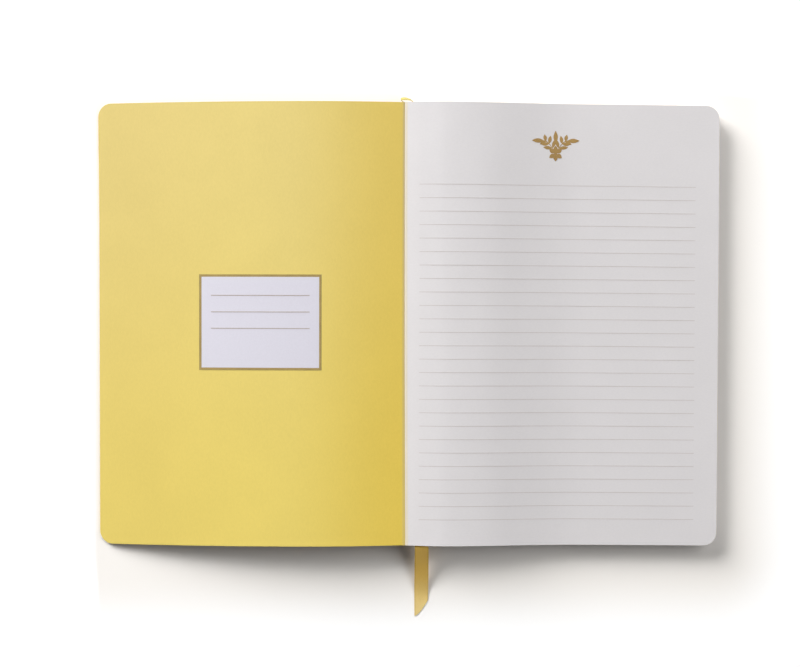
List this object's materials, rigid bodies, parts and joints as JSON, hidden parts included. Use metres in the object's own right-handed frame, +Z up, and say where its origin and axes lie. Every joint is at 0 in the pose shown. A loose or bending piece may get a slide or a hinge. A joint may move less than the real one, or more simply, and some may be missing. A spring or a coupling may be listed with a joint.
{
  "type": "softcover journal",
  "caption": "Softcover journal lying open at its first page: ruled leaves, yellow endpapers with a blank bookplate, rounded corners and a ribbon marker.",
  "frame": {"origin": "on the table, under the middle of the opened spread, the ribbon not counted", "axes": "+X across the spread from the front cover to the leaves, +Y from foot to head, +Z up from the table"},
  "size_m": [0.2958, 0.2501, 0.0116],
  "materials": {
    "cover": "fine-grained, matt",
    "endpaper": "plain yellow, matt",
    "lining": "glued, matt",
    "leaves": "uncoated, matt",
    "ribbon": "woven satin",
    "plate_field": "matt",
    "gold_print": "printed, matt",
    "rule_print": "printed, matt"
  },
  "bodies": {
    "leaves": {"text_block": "leaves", "spine_lining": "lining", "cover_spine": "cover", "ribbon_marker": "ribbon", "ruled_lines": "rule_print", "page_ornament": "gold_print"},
    "front": {"front_cover": "cover", "front_endpaper": "endpaper", "label_panel": "plate_field", "label_border": "gold_print", "label_rules": "rule_print"},
    "back": {"back_cover": "cover", "back_endpaper": "endpaper"}
  },
  "joints": [
    {"name": "front_cover_hinge", "type": "hinge", "parent": "leaves", "child": "front", "pos_m": [-0.0009, 0, 0.0116], "axis": [0, 1, 0], "range_deg": [-8, 179]},
    {"name": "back_cover_hinge", "type": "hinge", "parent": "leaves", "child": "back", "pos_m": [-0.0031, 0, 0.00035], "axis": [0, 1, 0], "range_deg": [0, 165]}
  ]
}
